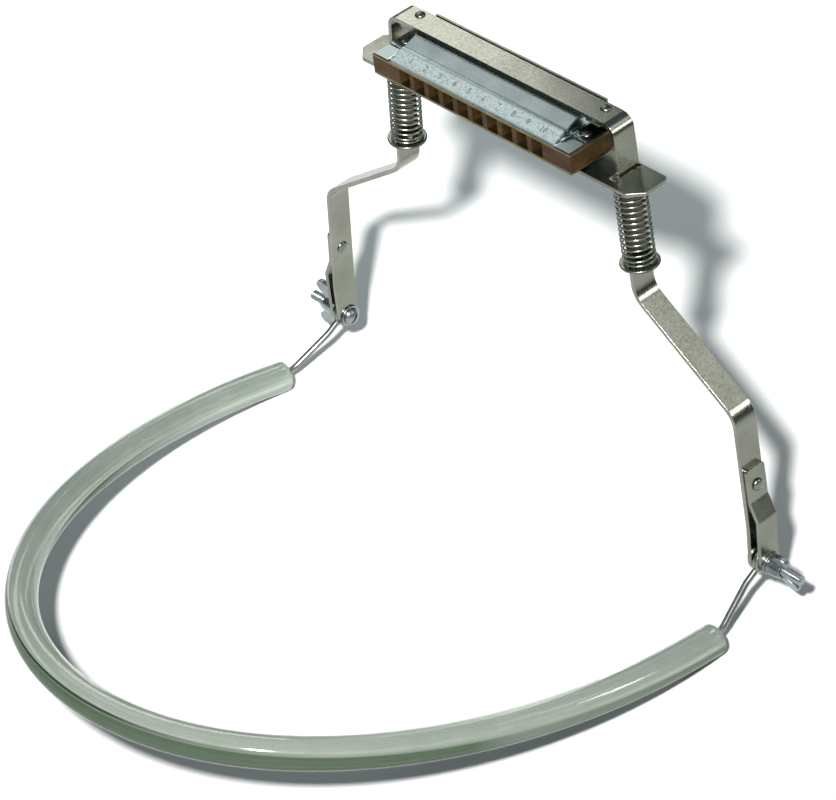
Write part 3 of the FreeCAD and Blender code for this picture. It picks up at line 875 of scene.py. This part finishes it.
def make_seats():
    """Round-edged rings under the springs, and the cross pins that carry them."""
    rings = []
    pins = []
    rim = seat_pin_r - seat_pin_edge
    tip = seat_pin_half - seat_pin_edge
    half = seat_pin_half
    pin_outline = [(-half, 0), (-half, rim), (-tip, seat_pin_r), (tip, seat_pin_r), (half, rim), (half, 0)]
    lying = offset(0, 0, -seat_t - seat_pin_r - hole_gap) @ AXIS_OUT
    for side in (-1, 1):
        ring = lathe(rounded_rect(-seat_t, 0, seat_bore_r, seat_r, seat_edge_r), 64, closed=True)
        slot = block(-seat_slot[0], seat_slot[0], -seat_slot[1], seat_slot[1], -3, 3)
        rings.append(on_leg(combined(ring, slot, "DIFFERENCE"), side, seat_z))
        pins.append(on_leg(moved(lathe(pin_outline, 32), lying), side, seat_z))
    piece("spring_seat_rings", joined(rings), "frame", "rivet_steel", ["spring_seats"])
    piece("spring_cross_pins", joined(pins), "frame", "rivet_steel", ["seat_pins"])


def rounded_rect(low, high, r_in, r_out, edge):
    """(height, radius) outline of a washer's section with rounded corners."""
    points = []
    corners = [
        (high - edge, r_out - edge, 0),
        (high - edge, r_in + edge, 90),
        (low + edge, r_in + edge, 180),
        (low + edge, r_out - edge, 270),
    ]
    for height, radius, start in corners:
        for k in range(4):
            a = math.radians(start + 30 * k)
            points.append((height + edge * math.sin(a), radius + edge * math.cos(a)))
    return points


def dome(base, height, radius):
    """(height, radius) points of a dome from its tip; a negative height points it down."""
    angles = [math.radians(90.0 * k / 8) for k in range(8)]
    return [(base + height * math.cos(a), radius * math.sin(a)) for a in angles]


def domed_rivet(bottom, top, shank_r, dome_r, dome_h, tail_r, tail_h):
    """Rivet about Z with a dome above its top and one, the tail, below its bottom."""
    profile = dome(bottom, -tail_h, tail_r)
    profile += [(bottom - 0.06, tail_r), (bottom, tail_r - 0.06), (bottom, shank_r), (top, shank_r)]
    profile += [(top, dome_r - 0.06), (top + 0.06, dome_r)]
    return lathe(profile + dome(top, dome_h, dome_r)[::-1], 40)


def make_rivets():
    """Jaw rivets through the bar, and fork rivets through the arms."""
    jaw = []
    fork = []
    jaw_bottom = design_box("jaw_rivets")[0].z + jaw_tail_h
    fork_in = arm_x(fork_rivet_z) - strip_t - fork_tail_gap
    fork_out = design_box("fork_rivets")[1].x - fork_head_h
    lying = offset(0, 0, fork_rivet_z) @ AXIS_OUT
    for side in (-1, 1):
        mesh = domed_rivet(jaw_bottom, bar_top + 0.01, 1.2, 2.0, 1.0, 1.8, jaw_tail_h)
        jaw.append(moved(mesh, offset(side * jaw_rivet_x, jaw_rivet_y, 0)))
        mesh = domed_rivet(fork_in, fork_out, 1.5, 2.5, fork_head_h, 2.5, 0.9)
        fork.append(mirrored(moved(mesh, lying), side))
    piece("bar_rivets", joined(jaw), "frame", "rivet_steel", ["jaw_rivets"])
    piece("arm_rivets", joined(fork), "frame", "rivet_steel", ["fork_rivets"])


# ======== Pivot hardware ========
def thread_mesh(start, end, sides=40, per_pitch=8):
    """A threaded end about Z from start to end: a true helix with a chamfered tip."""
    count = int((end - start) / thread_pitch * per_pitch)
    bm = bmesh.new()
    rows = []
    for i in range(count + 1):
        z = start + (end - start) * i / count
        row = []
        for k, (c, s) in enumerate(circle(sides)):
            phase = (z / thread_pitch - k / sides) % 1.0
            ridge = 1 - abs(2 * phase - 1)
            fade = min(1.0, (z - start) / thread_pitch)
            r = bolt_r - thread_slack - thread_deep * (1 - ridge) * fade
            r = min(r, bolt_r - thread_chamfer + (end - z))
            row.append(bm.verts.new((r * c, r * s, z)))
        rows.append(row)
    for a, b in zip(rows, rows[1:]):
        band(bm, a, b)
    bm.faces.new(rows[0])
    bm.faces.new(rows[-1])
    return from_bmesh(bm)


def make_bolts():
    """Round-head screws: slotted head on the inner side, thread on the outer end."""
    tall = bolt_under - bolt_in
    ball = (head_r * head_r + tall * tall) / (2 * tall)
    limit = math.acos((ball - tall + bolt_rim) / ball)
    angles = [limit * k / 14 for k in range(15)]
    profile = [(bolt_in + ball * (1 - math.cos(a)), ball * math.sin(a)) for a in angles]
    rim_r = profile[-1][1]
    profile += [(bolt_under - 0.12, rim_r + 0.05), (bolt_under, rim_r - 0.10)]
    profile += [(bolt_under, bolt_r), (thread_from, bolt_r)]
    for side, word in SIDES:
        shank = lathe(profile, 56)
        slot = block(-6, 6, -slot_w / 2, slot_w / 2, bolt_in - 1, bolt_in + slot_deep)
        shank = combined(shank, slot, "DIFFERENCE")
        whole = joined([shank, thread_mesh(thread_from, bolt_out)])
        turn = Matrix.Rotation(math.radians(slot_turn[side]), 4, "X")
        whole = moved(whole, turn @ AXIS_OUT)
        piece(word + "_screw", mirrored(whole, side), "frame", "zinc_hardware", [word + "_pivot_bolt"])


def washer_mesh(node, side):
    """Stamped washer with rounded edges; side is 0 for the node that holds both head washers."""
    low, high = design_box(node)
    inner = min(abs(low.x), abs(high.x)) if side else high.x - washer_t
    section = rounded_rect(inner, inner + washer_t, bolt_r + hole_gap, washer_r, 0.15)
    ring = lathe(section, 56, closed=True)
    return moved(ring, AXIS_OUT)


def make_washers():
    """Washers under the screw heads and under the wing nuts."""
    heads = [mirrored(washer_mesh("head_washers", 0), side) for side in (-1, 1)]
    piece("head_washer_pair", joined(heads), "frame", "zinc_hardware", ["head_washers"])
    for side, word in SIDES:
        mesh = mirrored(washer_mesh(word + "_nut_washer", side), side)
        piece(word + "_washer_ring", mesh, word + "_washer", "zinc_hardware", [word + "_nut_washer"])


def curve_part(p0, p1, p2, p3, steps):
    """Smooth curve through (a, b) points, from p1 up to but without p2."""
    result = []
    for s in range(steps):
        t = s / steps
        pair = []
        for a, b, c, d in zip(p0, p1, p2, p3):
            square = (2 * a - 5 * b + 4 * c - d) * t * t
            cube = (3 * b - a - 3 * c + d) * t ** 3
            pair.append(0.5 * (2 * b + (c - a) * t + square + cube))
        result.append(tuple(pair))
    return result


def smooth_outline(points, steps=6):
    """Closed smooth curve through (a, b) points."""
    result = []
    count = len(points)
    for i in range(count):
        result += curve_part(*(points[(i + k - 1) % count] for k in range(4)), steps)
    return result


def smooth_line(points, steps=4):
    """Open smooth curve through (a, b) points."""
    padded = [points[0]] + points + [points[-1]]
    result = []
    for i in range(1, len(padded) - 2):
        result += curve_part(*padded[i - 1:i + 3], steps)
    return result + [points[-1]]


def make_wing_nuts():
    """Cast wing nuts: tapered hub and two flared ears run together smoothly."""
    section = [(0, hub_bore_r), (0, hub_r), (0.5, hub_r), (hub_h, hub_top_r), (hub_h, hub_bore_r)]
    grow = {"mode": "VOXEL", "voxel_size": 0.16, "use_smooth_shade": True}
    soften = {"factor": 0.5, "iterations": 7}
    for side, word in SIDES:
        parts = [lathe(section, 64, closed=True)]
        for up in (-1, 1):
            outline = [Vector((up * b, 0, a)) for a, b in smooth_outline(ear_outline)]
            parts.append(prism(outline, Y, -wing_t / 2, wing_t / 2))
        solid = applied(joined(parts), [("REMESH", grow), ("SMOOTH", soften)])
        bore = lathe([(-3, bolt_r + hole_gap), (15, bolt_r + hole_gap)], 56)
        solid = combined(solid, bore, "DIFFERENCE")
        turn = Matrix.Rotation(math.radians(90.0 + nut_turn[side]), 4, "X")
        seat = offset(nut_in, 0, 0) @ turn @ AXIS_OUT
        solid = moved(solid, seat @ Matrix.Rotation(math.pi / 2, 4, "Z"))
        piece(word + "_wings", mirrored(solid, side), word + "_nut", "zinc_hardware", [word + "_wing_nut"])


# ======== Neck yoke ========
FORWARD = Vector((0, -math.cos(loop_rise), math.sin(loop_rise)))
UPWARD = Vector((0, math.sin(loop_rise), math.cos(loop_rise)))


def loop_poles(drop):
    """Poles of the right half of the neck loop, lowered by drop."""
    base = Vector((0, yoke_bend.y, yoke_bend.z)) + FORWARD * loop_start - UPWARD * drop
    pull = X * math.sin(loop_splay) + FORWARD * math.cos(loop_splay)
    p0 = base + X * loop_half
    p3 = base + FORWARD * loop_depth
    return [p0, p0 + pull * loop_side_pull, p3 + X * loop_front_pull, p3]


def on_curve(poles, t):
    """Point on a cubic curve."""
    a, b, c, d = poles
    s = 1 - t
    return a * s ** 3 + b * (3 * s * s * t) + c * (3 * s * t * t) + d * t ** 3


def flipped(points):
    """The mirror image of a line of points, in reverse order."""
    return [Vector((-p.x, p.y, p.z)) for p in reversed(points)]


def rounded_corner(before, corner, after, radius, steps):
    """Points of an arc that rounds a corner between two points."""
    d0 = (corner - before).normalized()
    d1 = (after - corner).normalized()
    turn = d0.angle(d1)
    start = corner - d0 * (radius * math.tan(turn / 2))
    inward = (d1 - d0 * d0.dot(d1)).normalized()
    points = []
    for k in range(steps + 1):
        a = turn * k / steps
        points.append(start + (d0 * math.sin(a) + inward * (1 - math.cos(a))) * radius)
    return points


def wire_lead(poles):
    """Centre line from the right eye down to the loop: straight past the fork, then two bends."""
    eye = Vector((eye_x, 0, 0))
    join = poles[0]
    heading = (poles[1] - poles[0]).normalized()
    corner = join - heading * (join - yoke_bend).dot(heading)
    down = Vector((0, corner.y, corner.z)).normalized()
    lean_out = eye + down * lean_from_eye
    points = [eye + down * (eye_r - wire_r), eye + down * (eye_r + 1)]
    points += rounded_corner(eye, lean_out, corner, lean_bend_r, 5)
    points += rounded_corner(lean_out, corner, join, wire_bend_r, 12)
    return points


def make_yoke():
    """Wire with looped, flattened eyes, and the vinyl tube over its loop."""
    poles = loop_poles(0.0)
    half = wire_lead(poles) + [on_curve(poles, t / 70) for t in range(1, 71)]
    wire = skin(bar_rings(half + flipped(half[:-1]), wire_r, 24))
    section = []
    for c, s in circle(20):
        flat = wire_r * math.copysign(abs(s) ** 0.6, s)
        deep = (eye_r - eye_bore_r) / 2 * math.copysign(abs(c) ** 0.75, c)
        section.append((flat, (eye_r + eye_bore_r) / 2 + deep))
    for side in (-1, 1):
        at_eye = offset(side * eye_x, 0, 0) @ AXIS_OUT
        eye = moved(lathe(section, 64, closed=True), at_eye)
        wire = combined(wire, eye, "UNION")
        bore = moved(lathe([(-2.5, eye_bore_r), (2.5, eye_bore_r)], 64), at_eye)
        wire = combined(wire, bore, "DIFFERENCE")
    piece("yoke_wire_bar", wire, "yoke", "yoke_wire", ["neck_wire"])

    poles = loop_poles(tube_drop)
    half = [on_curve(poles, t / 80) for t in range(81)]
    line = half + flipped(half[:-1])
    outer = bar_rings(line, tube_r, 56)
    inner = bar_rings(line, bore_r, 56)
    piece("vinyl_tube", tube_skin(outer, inner), "yoke", "clear_vinyl", ["neck_tube"], bevel=0.25)


def tube_skin(outer, inner):
    """A hollow tube: outer and bore skins joined by flat cut ends."""
    bm = bmesh.new()
    uv = bm.loops.layers.uv.new(RUN)
    around = [j * 0.07 for j in range(len(outer[0]) + 1)]
    skins = [[[bm.verts.new(p) for p in ring] for ring in rings] for rings in (outer, inner)]
    for rows in skins:
        for i in range(len(rows) - 1):
            band(bm, rows[i], rows[i + 1], uv, (i * 0.3, (i + 1) * 0.3), around)
    for end in (0, -1):
        band(bm, skins[0][end], skins[1][end])
    return from_bmesh(bm)


# ======== Harmonica ========
def cover_profile():
    """Side outline of a cover as (y, height) from its front edge to its open back."""
    tall = cover_high.z - cover_low.z
    outline = [
        (0.0, 0.0), (0.5, 0.12), slope_foot, slope_head, (6.6, 2.78), (7.0, 2.80), (7.3, 2.62),
        (7.6, 2.66), (8.0, 2.95), (12.0, 4.42), (13.2, 4.78), (14.6, tall), (20.6, tall),
        (21.8, tall - 0.4), (22.6, tall - 1.5), (22.7, tall - 2.6),
    ]
    return [(cover_low.y + deep, height) for deep, height in outline]


def cover_sheet():
    """The upper cover: a formed body that rises between flat end tabs.

    wall is how far along X each end rises, and lip how far beyond the body it starts.
    """
    root = cover_low.z
    tab_end = cover_high.x
    wall = 1.1
    lip = 0.15
    left = [-tab_end, -tab_end + 0.4, -46.0, -cover_half - 0.5]
    left += [-cover_half - lip + wall * k / 8 for k in range(9)]
    body = 2 * cover_half - 2 * wall - 0.8
    middle = [-cover_half + wall + 0.4 + body * k / 40 for k in range(41)]
    bm = bmesh.new()
    rows = []
    for x in left + middle + [-x for x in reversed(left)]:
        t = min(1.0, max(0.0, (cover_half + lip - abs(x)) / wall))
        lift = t * t * (3 - 2 * t)
        row = []
        for y, h in smooth_line(cover_profile()):
            z = cover_t + (h - cover_t) * lift
            row.append(bm.verts.new((x, y, root + z)))
        rows.append(row)
    for a, b in zip(rows, rows[1:]):
        for k in range(len(a) - 1):
            bm.faces.new((a[k], b[k], b[k + 1], a[k + 1]))
    bmesh.ops.recalc_face_normals(bm, faces=bm.faces)
    if sum(f.normal.z for f in bm.faces) < 0:
        bmesh.ops.reverse_faces(bm, faces=bm.faces)
    sheet = from_bmesh(bm, outwards=False)
    return applied(sheet, [("SOLIDIFY", {"thickness": cover_t - 0.03, "offset": -1.0})])


def make_covers():
    """Both covers, the lower one mirrored about the middle of the comb."""
    middle = (comb_low.z + comb_high.z) / 2
    raised = offset(0, 0, middle)
    flip = raised @ Matrix.Scale(-1, 4, Z) @ offset(0, 0, -middle)
    for word, mesh in (("upper", cover_sheet()), ("lower", moved(cover_sheet(), flip))):
        piece(word + "_cover_plate", mesh, "harmonica", "cover_chrome", [word + "_cover"], sharp=60)


def make_numbers():
    """Plain raised hole numbers 1 to 10 on the front slope of the upper cover."""
    slope = math.atan2(slope_head[1] - slope_foot[1], slope_head[0] - slope_foot[0])
    middle_y = cover_low.y + (slope_foot[0] + slope_head[0]) / 2
    middle_z = cover_low.z + (slope_foot[1] + slope_head[1]) / 2
    meshes = []
    for i in range(holes):
        text = bpy.data.curves.new("number", "FONT")
        text.body = str(i + 1)
        text.size = number_size
        text.extrude = number_rise
        text.align_x = "CENTER"
        text.align_y = "CENTER"
        at = offset((i - (holes - 1) / 2) * hole_pitch, middle_y, middle_z + number_lift)
        meshes.append(moved(baked(linked("number", text)), at @ Matrix.Rotation(slope, 4, "X")))
    piece("hole_numbers", joined(meshes), "harmonica", "rivet_steel")


def make_comb():
    """Wooden comb with eased edges and the covers' pins; plates and reeds keep their CAD shapes."""
    piece("wooden_comb", from_cad("comb"), "harmonica", "comb_wood", ["comb"], bevel=0.22)
    for node in ("upper_reed_plate", "lower_reed_plate", "upper_reeds", "lower_reeds"):
        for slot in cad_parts[node].material_slots:
            slot.material = finishes["reed_brass"]
    pin_low, pin_high = design_box("cover_pins")
    pins = []
    bottom = pin_low.z + cover_pin_h
    top = pin_high.z - cover_pin_h
    for side in (-1, 1):
        mesh = domed_rivet(bottom, top, 1.0, 1.8, cover_pin_h, 1.8, cover_pin_h)
        pins.append(moved(mesh, offset(side * cover_pin_x, cover_pin_y, 0)))
    piece("cover_nails", joined(pins), "harmonica", "rivet_steel", ["cover_pins"])


make_strip()
make_forks()
make_plates()
make_springs()
make_seats()
make_rivets()
make_bolts()
make_washers()
make_wing_nuts()
make_yoke()
make_covers()
make_numbers()
make_comb()


# ======== Stage, light and camera ========
def make_floor():
    """Pale matt floor, darker on the camera's side."""
    mesh = bpy.data.meshes.new("floor")
    reach = 6.0
    corners = [(-reach, -reach, 0), (reach, -reach, 0), (reach, reach, 0), (-reach, reach, 0)]
    mesh.from_pydata(corners, [], [(0, 1, 2, 3)])
    mat, tree, shader = new_material("floor_paper", Roughness=0.9, Specular_IOR_Level=0.1)
    point = place(tree)
    colour = two_tone(tree, noise(tree, point, 3.0, 2), (0.90, 0.92, 0.92), (0.92, 0.93, 0.93))
    nearer = dot(tree, point, (back.x, back.y, 0))
    shade = spread(tree, nearer, 0.0, 0.52, -0.28, 0.10)
    feed(tree, shader, Base_Color=blend(tree, shade, colour, (0.0, 0.0, 0.0)))
    mesh.materials.append(mat)
    linked("floor", mesh)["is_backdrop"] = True


def direction(azimuth, elevation):
    """Unit vector from the object towards a viewer at this azimuth and elevation."""
    a = math.radians(azimuth)
    e = math.radians(elevation)
    return Vector((math.sin(a) * math.cos(e), -math.cos(a) * math.cos(e), math.sin(e)))


def area_light(name, location, target, size, power, colour, shape="RECTANGLE"):
    """Area light aimed at a point."""
    data = bpy.data.lights.new(name, "AREA")
    data.shape = shape
    data.size, data.size_y = size
    data.energy = power
    data.color = colour
    obj = linked(name, data)
    obj.location = location
    obj.rotation_euler = (target - location).to_track_quat("-Z", "Y").to_euler()


def mirror_card(name, point, normal, distance, size, glow, shift=(0.0, 0.0)):
    """Soft card placed where a face at a design point mirrors it to the camera.

    glow is the card's radiance; shift moves it sideways and upwards, in metres.
    """
    spot = ROW @ Vector(point)
    face = Vector(normal).normalized()
    ray = (spot - eye_point).normalized()
    out = ray - face * (2 * ray.dot(face))
    side = out.cross(Z).normalized()
    place_at = spot + out * distance + side * shift[0] + side.cross(out) * shift[1]
    power = glow * math.pi * size[0] * size[1]
    area_light(name, place_at, spot, size, power, (1.0, 0.985, 0.95))


def make_sky():
    """Cool surroundings that the metal mirrors: darkest at the horizon, brightest overhead."""
    world = bpy.data.worlds.new("studio")
    bpy.context.scene.world = world
    world.use_nodes = True
    tree = world.node_tree
    toward = add(tree, "TexCoord").outputs["Generated"]
    height = spread(tree, part_of(tree, toward, "Z"), 0, 1, -1, 1)
    sky = [
        (0.0, (0.30, 0.34, 0.35)),
        (0.5, (0.15, 0.19, 0.20)),
        (0.62, (0.20, 0.26, 0.27)),
        (1.0, (0.35, 0.49, 0.55)),
    ]
    background = tree.nodes["Background"]
    tree.links.new(ramp(tree, height, sky), background.inputs["Color"])
    background.inputs["Strength"].default_value = 0.42


# The camera that was fitted to the photo: angles in degrees, lengths in metres.
view_azimuth = 51.58
view_elevation = 38.67
view_roll = -7.277
view_distance = 1.26984
view_shift = (0.04081, 0.00814)
view_lens_mm = 154.42
low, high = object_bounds()
aim = (low + high) / 2
back = direction(view_azimuth, view_elevation)
level = Z.cross(back).normalized()
up = back.cross(level)
roll = math.radians(view_roll)
right = level * math.cos(roll) + up * math.sin(roll)
up = back.cross(right)
eye_point = aim + back * view_distance + right * view_shift[0] + up * view_shift[1]
camera = linked("camera", bpy.data.cameras.new("camera"))
camera.matrix_world = Matrix.Translation(eye_point) @ Matrix((right, up, back)).transposed().to_4x4()
camera.data.lens = view_lens_mm
camera.data.sensor_width = 36.0
camera.data.clip_start = 0.05
camera.data.clip_end = 50.0
bpy.context.scene.camera = camera

make_floor()

# The key light stands just above and to the left of the camera; the cards stand where the bar,
# the right slope, the right knee and the cover mirror them to it.
key_spot = eye_point - right * 0.175 + up * 0.150
area_light("key", key_spot, aim, (0.085, 0.085), 44.0, (1.0, 0.99, 0.965), "DISK")
bar_face = (-20, 0, bar_top)
slope_mid = ((knee[0] + elbow[0]) / 2, 0, (knee[1] + elbow[1]) / 2)
slope_up = (knee[1] - elbow[1], 0, elbow[0] - knee[0])
knee_face = (knee[0], 0, knee[1])
cover_face = (0, cover_low.y + 4, cover_low.z + 2)
mirror_card("bar_card", bar_face, (0, 0, 1), 0.8, (0.34, 0.30), 3.2, shift=(-0.125, 0.0))
mirror_card("slope_card", slope_mid, slope_up, 0.8, (0.22, 0.26), 1.7, shift=(0.03, 0.0))
mirror_card("bend_card", knee_face, (0.78, 0, 0.62), 0.7, (0.12, 0.16), 11.0)
mirror_card("cover_card", cover_face, (0, -0.41, 0.91), 0.8, (0.34, 0.34), 1.15)
make_sky()
bpy.context.scene.view_settings.view_transform = "Standard"

low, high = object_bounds()
